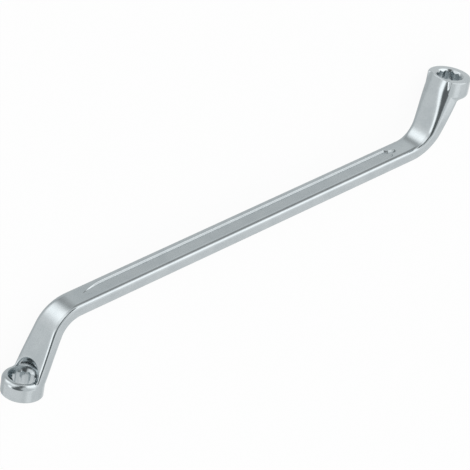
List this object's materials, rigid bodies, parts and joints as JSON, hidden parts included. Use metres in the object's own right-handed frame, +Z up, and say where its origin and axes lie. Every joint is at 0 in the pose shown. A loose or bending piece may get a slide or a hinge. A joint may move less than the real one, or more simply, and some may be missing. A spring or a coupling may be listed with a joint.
{
  "type": "offset ring spanner",
  "caption": "Deep-offset ring spanner: a slim bar cranked opposite ways at its ends, each carrying a ring with a star-shaped socket for turning recessed nuts and bolts.",
  "frame": {"origin": "under the middle of the bounding box, on the surface that the two rings rest on", "axes": "+X along the spanner toward the small ring, +Y along both ring axes toward the small ring's outer face, +Z up, square to the plane of the cranked profile"},
  "size_m": [0.1606, 0.0732, 0.0133],
  "materials": {
    "plated_steel": "satin chrome plate"
  },
  "bodies": {
    "root": {"small_ring": "plated_steel", "small_neck": "plated_steel", "shank": "plated_steel", "large_neck": "plated_steel", "large_ring": "plated_steel"}
  },
  "joints": []
}
